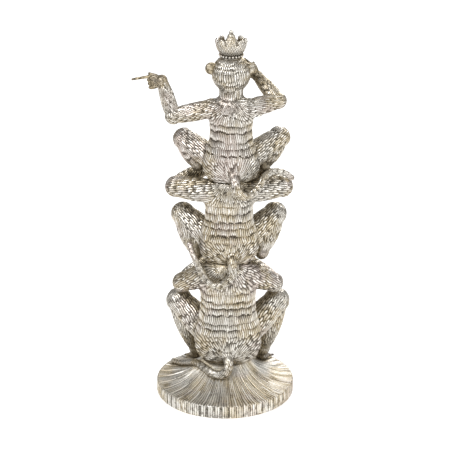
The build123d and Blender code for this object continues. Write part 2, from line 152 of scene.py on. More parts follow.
def remesh(piece: Piece, size: float) -> None:
    """Fuse all that a piece holds into one even skin, without the small voids inside it.

    Args:
        piece: the object to fuse.
        size: the voxel's edge in millimetres.
    """
    activate(piece)
    skin = piece.modifiers.new("skin", "REMESH")
    skin.mode = "VOXEL"
    skin.voxel_size = size * MM
    bpy.ops.object.modifier_apply(modifier=skin.name)
    set_mode("EDIT")
    bpy.ops.mesh.select_mode(type="VERT")
    bpy.ops.mesh.select_all(action="DESELECT")
    set_mode("OBJECT")
    piece.data.vertices[int(read_points(piece)[:, 0].argmin())].select = True
    set_mode("EDIT")
    bpy.ops.mesh.select_linked()
    bpy.ops.mesh.select_all(action="INVERT")
    bpy.ops.mesh.delete(type="VERT")
    set_mode("OBJECT")


def fetch(items: bpy.types.bpy_prop_collection, key: str, width: int, kind: type) -> Array:
    """Read one value of every item of a mesh.

    Args:
        items: the mesh's points, edges, faces or corners.
        key: the value's name.
        width: how many numbers it holds.
        kind: the type of the numbers.

    Returns:
        One row per item.
    """
    flat = np.empty(len(items) * width, dtype=kind)
    items.foreach_get(key, flat)
    return flat.reshape(-1, width)


def read_points(piece: Piece) -> Array:
    """Give a mesh's points in millimetres."""
    return fetch(piece.data.vertices, "co", 3, np.float32).astype(np.float64) / MM


def read_normals(piece: Piece) -> Array:
    """Give a mesh's normals at its points."""
    return fetch(piece.data.vertex_normals, "vector", 3, np.float32).astype(np.float64)


def read_edges(piece: Piece) -> Array:
    """Give a mesh's edges as pairs of point numbers."""
    return fetch(piece.data.edges, "vertices", 2, np.int32)


def write_points(piece: Piece, points: Array) -> None:
    """Move a mesh's points to places in millimetres."""
    piece.data.vertices.foreach_set("co", (points * MM).astype(np.float32).ravel())
    piece.data.update()


def write_mask(piece: Piece, name: str, values: Array) -> None:
    """Keep one number per point as a named attribute that the finishes read."""
    mask = piece.data.attributes.new(name, "FLOAT", "POINT")
    mask.data.foreach_set("value", values.astype(np.float32))


def neighbour_mean(values: Array, edges: Array, count: int) -> Array:
    """Average each point's neighbours.

    Args:
        values: one row per point.
        edges: pairs of point numbers.
        count: how many points there are.

    Returns:
        The averages, one row per point.
    """
    degree = np.bincount(edges.ravel(), minlength=count).clip(1)
    total = np.empty_like(values)
    for axis in range(values.shape[1]):
        column = values[:, axis]
        total[:, axis] = np.bincount(edges[:, 0], column[edges[:, 1]], count)
        total[:, axis] += np.bincount(edges[:, 1], column[edges[:, 0]], count)
    return total / degree[:, None]


def gather(pieces: Sequence[Piece]) -> tuple[BVHTree, Array]:
    """Gather the faces of several pieces.

    Args:
        pieces: the pieces.

    Returns:
        A tree of the faces, and the number of the piece that each face is of.
    """
    corners, faces, owner, offset = [], [], [], 0
    for number, piece in enumerate(pieces):
        piece.data.calc_loop_triangles()
        corners.append(read_points(piece))
        faces.append(fetch(piece.data.loop_triangles, "vertices", 3, np.int32) + offset)
        owner.append(np.full(len(faces[-1]), number))
        offset += len(corners[-1])
    tree = BVHTree.FromPolygons(np.vstack(corners).tolist(), np.vstack(faces).tolist())
    return tree, np.concatenate(owner)


def tower_tree() -> BVHTree:
    """Gather the faces of all CAD nodes that show, to find out how enclosed a place is, for the painted shade.
    """
    nodes = frame["nodes"].items()
    return gather([node for name, node in nodes if "dowel" not in name and "tie" not in name])[0]


def openness(points: Array, normals: Array, edges: Array, tree: BVHTree) -> Array:
    """Measure how open each point of a skin is to the room, which the finish turns into painted shade.

    Args:
        points: the skin's points.
        normals: the skin's normals.
        edges: the skin's edges.
        tree: the faces of the whole tower.

    Returns:
        One number per point, from 0 where shade gathers to 1 in the open; the finish paints shade from it.
    """
    rays, reach, stride, lift, rounds = 18, 32.0, 24, 1.2, 14
    step = np.arange(rays) + 0.5
    rise = np.sqrt(1 - step / rays)
    turn = step * pi * (3 - np.sqrt(5.0))
    flat = np.sqrt(1 - rise**2)
    local = np.stack((flat * np.cos(turn), flat * np.sin(turn), rise), axis=1)
    pick = np.arange(0, len(points), stride)
    up = normals[pick]
    guide = np.where(np.abs(up[:, 2:]) < 0.8, np.array((0.0, 0.0, 1.0)), np.array((1.0, 0.0, 0.0)))
    first = np.cross(up, guide)
    first /= np.linalg.norm(first, axis=1)[:, None]
    second = np.cross(up, first)
    ways = (local[None, :, 0:1] * first[:, None] + local[None, :, 1:2] * second[:, None]
            + local[None, :, 2:3] * up[:, None])
    starts = (points[pick] + lift * up).tolist()
    free = np.array([
        sum(tree.ray_cast(start, way, reach)[0] is None for way in fan) / rays
        for start, fan in zip(starts, ways.tolist())
    ])
    known = np.zeros((len(points), 2))
    known[pick, 0], known[pick, 1] = free, 1.0
    for _ in range(rounds):
        known = 0.5 * known + 0.5 * neighbour_mean(known, edges, len(points))
    return known[:, 0] / known[:, 1].clip(1e-9)


# Hair, cut in rows of overlapping strokes


def ease(low: float, high: float, values: Array) -> Array:
    """Rise smoothly from 0 at low to 1 at high."""
    share = ((values - low) / (high - low)).clip(0, 1)
    return share * share * (3 - 2 * share)


def scatter(row: Array, lane: Array, seed: float) -> Array:
    """Give each row and lane its own fixed number from 0 to 1."""
    mixed = np.sin(row * 12.9898 + lane * 78.233 + seed * 37.719) * 43758.5453
    return mixed - np.floor(mixed)


@dataclass(frozen=True)
class HairCut:
    """How the hair of one region is cut.

    Fields: length of a row, width of a stroke and depth of the cut in millimetres, slant of the strokes in
    degrees, and as shares how ragged the tips are, how deep the grooves between strokes go, how far the
    strokes of a row are shifted against each other, the level that stays between one stroke and the next, and
    how far the strokes wander.
    """

    row: float
    stroke: float
    depth: float
    slant: float = 0.0
    ragged: float = 0.35
    comb: float = 0.92
    stagger: float = 1.0
    rest: float = 0.3
    wander: float = 0.14

    def strokes(self, along: Array, across: Array, seed: float) -> tuple[Array, Array]:
        """Lay rows of strokes over a surface.

        Args:
            along: distance in the direction in which the hair lies, in millimetres.
            across: distance square to it, in millimetres.
            seed: a number that sets this region's strokes apart.

        Returns:
            The cut's height from 0 in the grooves to 1 on the strokes, and each stroke's own number.
        """
        turn = radians(self.slant)
        run = along * np.cos(turn) + across * np.sin(turn)
        side = across * np.cos(turn) - along * np.sin(turn)
        run = (run + 0.9 * np.sin(side * 0.13 + seed) + 0.5 * np.sin(side * 0.41 + 2 * seed)
               + 0.9 * np.sin(run * 0.29))
        band = np.floor(run / self.row)
        shift = (1 - self.stagger) * scatter(band, band * 0, seed)
        place = side / self.stroke + shift + self.wander * np.sin(run * 0.55 + side * 0.19 + seed)
        lane = np.floor(place)
        ridge = 1 - np.abs(2 * (place - lane) - 1) ** 1.5
        run = run / self.row + self.stagger * scatter(lane, lane * 0, seed + 11)
        row = np.floor(run)
        fall = run - row
        own = scatter(row, lane, seed)
        tip = 1 - self.ragged * own
        stretch = side / (4.5 * self.stroke)
        knot = np.floor(stretch)
        weave = ease(0.0, 1.0, stretch - knot)
        broken = scatter(row, knot, seed + 3) * (1 - weave) + scatter(row, knot + 1, seed + 3) * weave
        rest = self.rest + (0.75 - self.rest) * ease(0.45, 0.75, broken)
        body = 0.35 * ease(0.0, 0.12, fall) + 0.65 * ease(0.05, 0.6, fall)
        body = body * (1 - ease(tip - 0.1, tip + 0.05, fall))
        body = rest + (1 - rest) * body
        return body * (1 - self.comb + self.comb * ridge) * (0.7 + 0.3 * own), own


def follow(points: Array, path: Path) -> tuple[Array, Array]:
    """Measure points along a path and round it.

    Args:
        points: places in millimetres.
        path: the path's own places.

    Returns:
        The distance along the path and the angle round it.
    """
    stops = np.asarray(path)
    nearest = np.full(len(points), np.inf)
    along = np.zeros(len(points))
    angle = np.zeros(len(points))
    start = 0.0
    for first, last in zip(stops[:-1], stops[1:]):
        length = np.linalg.norm(last - first)
        way = (last - first) / length
        guide = np.array((0.0, 0.0, 1.0)) if abs(way[2]) < 0.85 else np.array((0.0, 1.0, 0.0))
        guide = guide - way * guide.dot(way)
        guide /= np.linalg.norm(guide)
        third = np.cross(way, guide)
        out = points - first
        share = (out @ way).clip(0, length)
        gap = np.linalg.norm(out - share[:, None] * way, axis=1)
        mine = gap < nearest
        nearest[mine] = gap[mine]
        along[mine] = start + (out[mine] @ way)
        angle[mine] = np.arctan2(out[mine] @ third, out[mine] @ guide)
        start += length
    return along, angle


# Finishes


def set_inputs(node: bpy.types.Node, values: dict[str, float | tuple[float, ...]]) -> None:
    """Set several of a node's inputs by name."""
    for name, value in values.items():
        node.inputs[name].default_value = value


def new_finish(name: str) -> tuple[Finish, bpy.types.Nodes, bpy.types.NodeLinks, bpy.types.Node]:
    """Start a material.

    Args:
        name: its name.

    Returns:
        The material, its nodes, its links and its shader.
    """
    finish = bpy.data.materials.new(name)
    finish.use_nodes = True
    nodes = finish.node_tree.nodes
    return finish, nodes, finish.node_tree.links, nodes["Principled BSDF"]


@dataclass(frozen=True)
class AgedSilver:
    """Aged silver leaf with dark patina in its cuts, rubbed highlights on its strokes and painted shade where
    the tower's parts enclose it.
    """

    name: str
    groove: Point
    body: Point
    rubbed: Point
    warm: Point
    blush: Point
    edge: Point = (0.5, 0.47, 0.43)
    dull: float = 0.0
    grain: float = 900.0
    blotch: float = 32.0
    cloud: float = 19.2
    relief: float = 0.25

    def material(self) -> Finish:
        """Build the finish on a metal shader.

        Returns:
            The new material.
        """
        finish, nodes, links, shader = new_finish(self.name)
        set_inputs(shader, {"IOR": 1.5, "Specular Tint": (*self.edge, 1.0)})
        patina = nodes.new("ShaderNodeGroup")
        patina.node_tree = patina_and_shade_group()
        set_inputs(patina, {
            "Groove": (*self.groove, 1.0), "Body": (*self.body, 1.0), "Rubbed": (*self.rubbed, 1.0),
            "Warm": (*self.warm, 1.0), "Blush": (*self.blush, 1.0),
            "Grain": self.grain, "Blotch": self.blotch, "Cloud": self.cloud, "Dull": self.dull,
        })
        # The open mask carries the painted shade of enclosed places.
        for mask in ("cut", "own", "open"):
            reader = nodes.new("ShaderNodeAttribute")
            reader.attribute_name = mask
            links.new(reader.outputs["Fac"], patina.inputs[mask.capitalize()])
        for given, taken in (("Color", "Base Color"), ("Roughness", "Roughness"), ("Metallic", "Metallic")):
            links.new(patina.outputs[given], shader.inputs[taken])
        bump = nodes.new("ShaderNodeBump")
        set_inputs(bump, {"Strength": self.relief, "Distance": 0.3 * MM})
        links.new(patina.outputs["Height"], bump.inputs["Height"])
        links.new(bump.outputs["Normal"], shader.inputs["Normal"])
        return finish


def patina_and_shade_group() -> bpy.types.NodeTree:
    """Build once the shared node group that turns the cut's height into colour, roughness and metal, and paints
    shade where a place is enclosed.
    """
    if "patina" in bpy.data.node_groups:
        return bpy.data.node_groups["patina"]
    group = bpy.data.node_groups.new("patina", "ShaderNodeTree")
    sockets = (
        ("INPUT", "Color", "Groove Body Rubbed Warm Blush"),
        ("INPUT", "Float", "Cut Own Open Grain Blotch Cloud Dull"),
        ("OUTPUT", "Color", "Color"),
        ("OUTPUT", "Float", "Roughness Metallic Height"),
    )
    for way, kind, names in sockets:
        for name in names.split():
            group.interface.new_socket(name, in_out=way, socket_type="NodeSocket" + kind)
    nodes, links = group.nodes, group.links
    given = nodes.new("NodeGroupInput")
    result = nodes.new("NodeGroupOutput")
    places = nodes.new("ShaderNodeTexCoord")

    def noise(scale: str, detail: float, rough: float) -> Socket:
        """Add a noise on object coordinates at a given input's scale."""
        texture = nodes.new("ShaderNodeTexNoise")
        set_inputs(texture, {"Detail": detail, "Roughness": rough})
        links.new(places.outputs["Object"], texture.inputs["Vector"])
        links.new(given.outputs[scale], texture.inputs["Scale"])
        return texture.outputs["Fac"]

    def span(value: Socket, low: float, high: float, start: float, end: float) -> Socket:
        """Map a value smoothly from low..high to start..end."""
        node = nodes.new("ShaderNodeMapRange")
        node.interpolation_type = "SMOOTHSTEP"
        set_inputs(node, {"From Min": low, "From Max": high, "To Min": start, "To Max": end})
        links.new(value, node.inputs["Value"])
        return node.outputs["Result"]

    def combine(kind: str, first: Socket, second: Socket | float) -> Socket:
        """Combine two values."""
        node = nodes.new("ShaderNodeMath")
        node.operation = kind
        links.new(first, node.inputs[0])
        if isinstance(second, float):
            node.inputs[1].default_value = second
        else:
            links.new(second, node.inputs[1])
        return node.outputs["Value"]

    def blend(factor: Socket, first: Socket, second: Socket) -> Socket:
        """Mix two colours."""
        node = nodes.new("ShaderNodeMix")
        node.data_type = "RGBA"
        links.new(factor, node.inputs["Factor"])
        links.new(first, node.inputs["A"])
        links.new(second, node.inputs["B"])
        return node.outputs["Result"]

    fine = noise("Grain", 3.0, 0.6)
    broad = noise("Blotch", 4.0, 0.55)
    level = combine("ADD", given.outputs["Cut"], span(fine, 0.3, 0.7, -0.12, 0.12))
    # Open tells how open a place is to the room; enclosed places get painted shade from it below.
    clear = span(given.outputs["Open"], 0.2, 0.85, 0.0, 1.0)
    # Painted shade: enclosed places keep more of the dark groove colour.
    bare = combine("MULTIPLY", span(level, 0.06, 0.5, 0.0, 1.0), span(clear, 0.0, 1.0, 0.72, 1.0))
    stroke = span(given.outputs["Own"], 0.0, 1.0, 0.35, 1.0)
    shine = combine("MULTIPLY", span(level, 0.36, 0.8, 0.0, 1.0), stroke)
    # Painted shade: the rubbed strokes are dimmed in enclosed places.
    shine = combine("MULTIPLY", shine, span(clear, 0.0, 1.0, 0.25, 1.0))
    # The stain is partly random blotches and partly painted shade, in a warm tone, in enclosed places.
    stain_and_shade = combine("MAXIMUM", span(broad, 0.42, 0.62, 0.0, 1.0), span(clear, 0.0, 0.9, 1.0, 0.0))
    cloud = span(noise("Cloud", 2.0, 0.5), 0.45, 0.65, 0.0, 0.9)
    rosy = blend(cloud, given.outputs["Body"], given.outputs["Blush"])
    tinted = blend(stain_and_shade, rosy, given.outputs["Warm"])
    coated = blend(bare, given.outputs["Groove"], tinted)
    links.new(blend(shine, coated, given.outputs["Rubbed"]), result.inputs["Color"])
    rough = combine("ADD", span(level, 0.1, 0.9, 0.52, 0.32), span(broad, 0.3, 0.7, -0.05, 0.07))
    links.new(combine("ADD", rough, given.outputs["Dull"]), result.inputs["Roughness"])
    links.new(span(bare, 0.0, 1.0, 0.4, 1.0), result.inputs["Metallic"])
    links.new(fine, result.inputs["Height"])
    return group


@dataclass(frozen=True)
class PlainFinish:
    """A plain finish for the fixings and the felt: a colour with a fine grain in it."""

    name: str
    colour: Point
    shade: Point
    metallic: float
    roughness: float
    grain: float

    def material(self) -> Finish:
        """Build the finish.

        Returns:
            The new material.
        """
        finish, nodes, links, shader = new_finish(self.name)
        set_inputs(shader, {"Metallic": self.metallic, "Roughness": self.roughness})
        places = nodes.new("ShaderNodeTexCoord")
        grain = nodes.new("ShaderNodeTexNoise")
        set_inputs(grain, {"Scale": self.grain, "Detail": 4.0})
        mix = nodes.new("ShaderNodeMix")
        mix.data_type = "RGBA"
        set_inputs(mix, {"A": (*self.colour, 1.0), "B": (*self.shade, 1.0)})
        bump = nodes.new("ShaderNodeBump")
        set_inputs(bump, {"Strength": 0.3, "Distance": 0.2 * MM})
        links.new(places.outputs["Object"], grain.inputs["Vector"])
        links.new(grain.outputs["Fac"], mix.inputs["Factor"])
        links.new(mix.outputs["Result"], shader.inputs["Base Color"])
        links.new(grain.outputs["Fac"], bump.inputs["Height"])
        links.new(bump.outputs["Normal"], shader.inputs["Normal"])
        return finish


def dress(piece: Piece, finish: Finish, node: str) -> None:
    """Put a finished piece in the place of its CAD node.

    Args:
        piece: the new object.
        finish: its material.
        node: the CAD node that it stands for.
    """
    piece.data.materials.clear()
    piece.data.materials.append(finish)
    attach(piece, "root")
    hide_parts(node)
    log.info("%s: %d faces", piece.name, len(piece.data.polygons))


# The pieces


@dataclass
class Monkey:
    """One monkey of the tower, whose castings are fused, carved with hair and parted again.

    Fields: its name, the middle of its back, the level of its seat and its torso's height and hip width, its
    head's width and centre, the joint places of its limbs and tail, the rings of its neck's slope, all in
    millimetres, how its skin is fused, smoothed and shared out, the heights at which the back's hair turns into
    that of nape and rump, the radii at which strokes keep their width, and its hair.
    """

    name: str
    spine_x: float
    seat: float
    height: float
    hip: float
    head_width: float
    head: Point
    limbs: dict[Region, Path]
    tail: Path
    seed: float
    yoke: Sequence[tuple[float, float, float]] = ()
    spine_y: float = -4.0
    voxel: float = 0.5
    seam_reach: int = 16
    seam_rounds: int = 70
    seam_pull: float = 0.6
    smooth_rounds: int = 3
    vote_rounds: int = 4
    own_vote: float = 1.5
    skin_level: float = 0.55
    nape_span: tuple[float, float] = (0.68, 0.82)
    rump_span: tuple[float, float] = (0.34, 0.26)
    arm_girth: float = 11.0
    leg_girth: float = 13.0
    tail_girth: float = 5.0
    back_hair: HairCut = HairCut(7.6, 2.45, 1.1, ragged=0.25, stagger=0.0, rest=0.2)
    nape_hair: HairCut = HairCut(9.0, 2.3, 0.9)
    rump_hair: HairCut = HairCut(9.0, 2.0, 0.9)
    arm_hair: HairCut = HairCut(9.0, 2.3, 0.8, 10.0)
    leg_hair: HairCut = HairCut(9.0, 2.4, 0.85, -10.0, stagger=0.8)
    head_hair: HairCut = HairCut(5.6, 2.1, 0.65, ragged=0.3, stagger=0.4)
    tail_hair: HairCut = HairCut(6.0, 1.9, 0.6, 16.0, ragged=0.3)

    def node(self, region: Region) -> str:
        """Name the CAD node of one casting."""
        return f"{self.name}_{region.value}"

    def fuse(self) -> tuple[Piece, BVHTree, Array]:
        """Copy the castings and fuse them into one skin.

        Returns:
            The skin, a tree of the castings' own faces, and which casting each of those faces is of.
        """
        copies = [copy_node(self.node(region)) for region in Region]
        tree, owner = gather(copies)
        if self.yoke:
            copies.append(self.slope())
        skin = join(copies, self.name + "_skin")
        remesh(skin, self.voxel * (1.0))
        return skin, tree, owner

    def slope(self) -> Piece:
        """Make the slope from the neck to the shoulders from its rings: level, half width and half depth."""
        turns = 2 * pi * np.arange(64) / 64
        across, through = np.cos(turns), np.sin(turns)
        rings = [
            np.stack((self.spine_x + wide * across, self.spine_y + deep * through, level + 0 * turns), axis=1)
            for level, wide, deep in self.yoke
        ]
        count, last = len(turns), (len(rings) - 1) * len(turns)
        faces = [
            (low + i, low + (i + 1) % count, low + count + (i + 1) % count, low + count + i)
            for low in range(0, last, count) for i in range(count)
        ]
        faces += [tuple(reversed(range(count))), tuple(range(last, last + count))]
        mesh = bpy.data.meshes.new(self.name + "_yoke")
        mesh.from_pydata((np.vstack(rings) * MM).tolist(), [], faces)
        return add_object(self.name + "_yoke", mesh)

    def owners(self, points: Array, edges: Array, tree: BVHTree, owner: Array) -> Array:
        """Tell which casting each point of the skin belongs to.

        Args:
            points: the skin's points.
            edges: the skin's edges.
            tree: the castings' faces.
            owner: which casting each of those faces is of.

        Returns:
            The casting's number for each point, with stray ones cleared.
        """
        found = np.array([tree.find_nearest(point)[2] for point in points.tolist()])
        mine = owner[found]
        for _ in range(self.vote_rounds):
            votes = np.zeros((len(points), len(Region)))
            votes[np.arange(len(points)), mine] = self.own_vote
            near = np.eye(len(Region))[mine]
            degree = np.bincount(edges.ravel(), minlength=len(points))[:, None]
            votes += neighbour_mean(near, edges, len(points)) * degree
            mine = votes.argmax(axis=1)
        return mine

    def soften(self, points: Array, edges: Array, mine: Array) -> tuple[Array, Array]:
        """Run the limbs, neck and tail into the torso with soft hollows, as in one casting.

        Args:
            points: the skin's points.
            edges: the skin's edges.
            mine: the casting of each point.

        Returns:
            The moved points, and how near each one is to a seam, from 0 to 1.
        """
        torso = 0
        first, second = mine[edges[:, 0]], mine[edges[:, 1]]
        split = edges[(first != second) & ((first == torso) | (second == torso))]
        near = np.zeros(len(points))
        near[split.ravel()] = 1.0
        reach = max(self.seam_reach // (1), 1)
        for _ in range(reach):
            spread = near - 1.0 / reach
            np.maximum.at(near, edges[:, 0], spread[edges[:, 1]])
            np.maximum.at(near, edges[:, 1], spread[edges[:, 0]])
        moved = points.copy()
        for _ in range(self.smooth_rounds):
            moved += 0.5 * (neighbour_mean(moved, edges, len(points)) - moved)
        worked = (near[edges[:, 0]] > 0) | (near[edges[:, 1]] > 0)
        local = edges[worked]
        touched = np.unique(local)
        number = np.zeros(len(points), dtype=np.int64)
        number[touched] = np.arange(len(touched))
        pairs = number[local]
        part = moved[touched]
        pull = (self.seam_pull * near[touched])[:, None]
        for _ in range(self.seam_rounds):
            part = part + pull * (neighbour_mean(part, pairs, len(touched)) - part)
        moved[touched] = part
        return moved, near

    def back(self, points: Array) -> Cut:
        """Carve the torso: rows across the back, a fan from the neck and one to the root of the tail.

        Args:
            points: places on the torso.

        Returns:
            Height of the cut, each stroke's own number, and the depth.
        """
        out = points - np.array((self.spine_x, self.spine_y, 0.0))
        angle = np.arctan2(out[:, 0], -out[:, 1])
        drop = self.seat + self.height - points[:, 2]
        sag = 1.6 * np.cos(angle)
        side = np.where(angle < 0, -1.0, 1.0)
        across = angle * self.hip * 0.42
        rows, own = self.back_hair.strokes(drop - sag, across - 0.12 * side * drop, self.seed)
        rise = self.seat + 1.03 * self.height - points[:, 2]
        fanned = np.arctan2(out[:, 0], rise)
        loose, loose_own = self.nape_hair.strokes(np.hypot(out[:, 0], rise), fanned * 26.0, self.seed + 2)
        upper = ease(*self.nape_span, 1 - drop / self.height)
        rows = rows * (1 - upper) + loose * upper
        own = np.where(upper > 0.5, loose_own, own)
        root = np.asarray(self.tail[1])
        fan = points - root
        spread = np.arctan2(fan[:, 0], fan[:, 2] + 6.0)
        reach = np.linalg.norm(fan, axis=1)
        tuft, tuft_own = self.rump_hair.strokes(FAR - reach, spread * 22.0, self.seed + 5)
        low = ease(*self.rump_span, (points[:, 2] - self.seat) / self.height) * (out[:, 1] < 6.0)
        height = rows * (1 - low) + tuft * low
        depth = self.back_hair.depth * (1 - low) + self.rump_hair.depth * low
        return height, np.where(low > 0.5, tuft_own, own), depth

    def limb(self, points: Array, path: Path, hair: HairCut, girth: float, hand: bool) -> Cut:
        """Carve an arm, leg or tail along its bones.

        Args:
            points: places on the casting.
            path: the casting's joint places.
            hair: the cut.
            girth: the radius at which the strokes keep their width.
            hand: whether the path ends in a hand or foot, which stays nearly smooth.

        Returns:
            Height of the cut, each stroke's own number, and the depth.
        """
        along, angle = follow(points, path)
        side = 1.0 if path[1][0] > self.spine_x else -1.0
        height, own = hair.strokes(along, side * angle * girth, self.seed + side)
        depth = np.full(len(points), hair.depth)
        if hand:
            stops = np.asarray(path)
            wrist = np.linalg.norm(np.diff(stops[:-1], axis=0), axis=1).sum()
            bare = ease(wrist - 4.0, wrist + 3.0, along)
            depth = hair.depth * (1 - 0.6 * bare)
            height = height * (1 - bare) + bare * (0.13 + 0.35 * height)
        return height, own, depth

    def skull(self, points: Array) -> Cut:
        """Carve the head: strokes down from the top, a smooth face and ears.

        Args:
            points: places on the head.

        Returns:
            Height of the cut, each stroke's own number, and the depth.
        """
        wide = self.head_width
        out = points - np.asarray(self.head)
        reach = np.linalg.norm(out, axis=1)
        polar = np.arccos((out[:, 2] / reach).clip(-1, 1))
        turn = np.arctan2(out[:, 0], -out[:, 1])
        height, own = self.head_hair.strokes(polar * wide / 2, turn * wide * 0.42, self.seed + 9)
        face = 0.8 * ease(0.28, 0.40, out[:, 1] / wide)

        def spot(x: float, y: float, z: float, full: float, end: float, ring: float = 0.0) -> Array:
            """Mark a spot or ring at a place, all in shares of the head's width."""
            gap = np.linalg.norm(out - np.array((x, y, z)) * wide, axis=1) / wide
            return 1 - ease(full, end, np.abs(gap - ring))

        ear, cuts = np.zeros((2, len(points)))
        for side in (-1, 1):
            ear = np.maximum(ear, spot(side * 0.54, -0.06, 0.14, 0.15, 0.20))
            cuts = np.maximum(cuts, 0.8 * spot(side * 0.17, 0.46, 0.06, 0.008, 0.018, 0.1))
            cuts = np.maximum(cuts, 0.9 * spot(side * 0.165, 0.535, 0.06, 0.016, 0.032))
            cuts = np.maximum(cuts, spot(side * 0.035, 0.645, -0.085, 0.012, 0.03))
        smooth = np.maximum(face, 0.5 * ear)
        height = height * (1 - smooth) + np.where(face > 0, smooth * 0.5, smooth * 0.3)
        depth = self.head_hair.depth * (1 - smooth)
        lips = np.abs(out[:, 2] / wide + 0.235 - 0.5 * (out[:, 0] / wide) ** 2)
        mouth = (out[:, 1] > 0.45 * wide) * (np.abs(out[:, 0]) < 0.25 * wide)
        cuts = np.maximum(cuts, (1 - ease(0.01, 0.026, lips)) * mouth)
        height = height * (1 - cuts)
        return height, own, np.maximum(depth, 0.9 * cuts)

    def carve(self, skin: Piece, tree: BVHTree, owner: Array, tower: BVHTree) -> Array:
        """Soften the skin, carve its hair and keep the cut's height for the finish.

        Args:
            skin: the fused casting.
            tree: the castings' faces.
            owner: which casting each of those faces is of.
            tower: the faces of the whole tower.

        Returns:
            The casting of each point.
        """
        points, edges = read_points(skin), read_edges(skin)
        mine = self.owners(points, edges, tree, owner)
        points, near = self.soften(points, edges, mine)
        write_points(skin, points)
        normals = read_normals(skin)
        height, own, depth = np.zeros((3, len(points)))
        for number, region in enumerate(Region):
            here = mine == number
            place = points[here]
            if region is Region.TORSO:
                cut = self.back(place)
            elif region is Region.HEAD:
                cut = self.skull(place)
            elif region is Region.TAIL:
                cut = self.limb(place, self.tail, self.tail_hair, self.tail_girth, False)
            elif region in (Region.LEFT_ARM, Region.RIGHT_ARM):
                cut = self.limb(place, self.limbs[region], self.arm_hair, self.arm_girth, True)
            else:
                cut = self.limb(place, self.limbs[region], self.leg_hair, self.leg_girth, True)
            height[here], own[here], depth[here] = cut
        write_points(skin, points + normals * ((height - self.skin_level) * depth)[:, None])
        # Painted shade: the cut is lowered near the seams where limbs meet the torso, and the open mask paints
        # shade in enclosed places.
        write_mask(skin, "cut", height * (1 - 0.15 * ease(0.75, 1.0, near)))
        write_mask(skin, "own", own)
        write_mask(skin, "open", openness(points, normals, edges, tower))
        return mine

    def part(self, skin: Piece, mine: Array, finish: Finish) -> None:
        """Part the carved skin into its castings, close each one and dress it.

        Args:
            skin: the carved skin.
            mine: the casting of each point.
            finish: the material.
        """
        mesh = skin.data
        corner = fetch(mesh.loops, "vertex_index", 1, np.int32).ravel()
        total = fetch(mesh.polygons, "loop_total", 1, np.int32).ravel()
        face = np.repeat(np.arange(len(total)), total)
        votes = np.zeros((len(total), len(Region)))
        np.add.at(votes, (face, mine[corner]), 1.0)
        for region in Region:
            mesh.materials.append(bpy.data.materials.new(self.node(region)))
        mesh.polygons.foreach_set("material_index", votes.argmax(axis=1).astype(np.int32))
        edit_all(skin)
        bpy.ops.mesh.separate(type="MATERIAL")
        set_mode("OBJECT")
        for piece in list(bpy.context.selected_objects):
            node = piece.data.materials[piece.data.polygons[0].material_index].name
            piece.name = node + "_carved"
            self.close(piece)
            dress(piece, finish, node)

    def close(self, piece: Piece) -> None:
        """Close the openings where a casting met its neighbours, each with a fan of faces."""
        mesh = bmesh.new()
        mesh.from_mesh(piece.data)
        left = {edge for edge in mesh.edges if edge.is_boundary}
        while left:
            rim, front = [], [left.pop()]
            while front:
                edge = front.pop()
                rim.append(edge)
                for vertex in edge.verts:
                    beside = [other for other in vertex.link_edges if other in left]
                    left.difference_update(beside)
                    front.extend(beside)
            corners = {vertex for edge in rim for vertex in edge.verts}
            middle = mesh.verts.new(sum((vertex.co for vertex in corners), Vector()) / len(corners))
            for edge in rim:
                loop = edge.link_loops[0]
                edge.smooth = False
                mesh.faces.new((loop.link_loop_next.vert, loop.vert, middle))
        mesh.to_mesh(piece.data)
        mesh.free()
        activate(piece)
        bpy.ops.object.shade_smooth(keep_sharp_edges=True)

    def build(self, finish: Finish, tower: BVHTree) -> None:
        """Make this monkey's pieces."""
        skin, tree, owner = self.fuse()
        mine = self.carve(skin, tree, owner, tower)
        self.part(skin, mine, finish)


